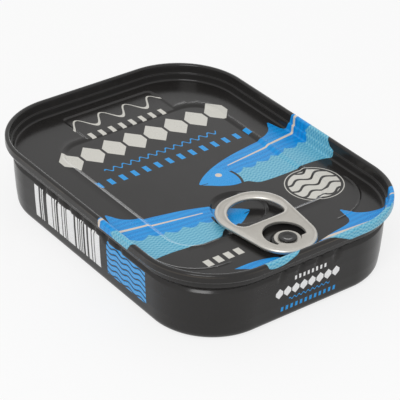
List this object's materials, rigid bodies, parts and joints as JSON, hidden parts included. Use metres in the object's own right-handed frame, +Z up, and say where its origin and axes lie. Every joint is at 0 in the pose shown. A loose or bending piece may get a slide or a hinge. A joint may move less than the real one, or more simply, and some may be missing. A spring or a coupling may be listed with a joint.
{
  "type": "sardine tin",
  "caption": "Flat rounded-rectangle food tin, seamed shut, with a sunk lid panel, a ring-pull tab held by a rivet, and a fluted shoulder under the seam.",
  "frame": {"origin": "middle of the base, on the surface the tin stands on", "axes": "+X along the tin towards the tab's nose, +Y across it, +Z up"},
  "size_m": [0.1024, 0.0762, 0.0221],
  "materials": {
    "can_body": "dark satin lacquer with printed fields of white, blue and pale blue",
    "lid": "dark satin lacquer with printed fields of off-white, blue and pale blue",
    "pull_tab": "satin rolled metal with bright curled edges"
  },
  "bodies": {
    "root": {"can_body": "can_body", "lid": "lid", "pull_tab": "pull_tab"}
  },
  "joints": []
}
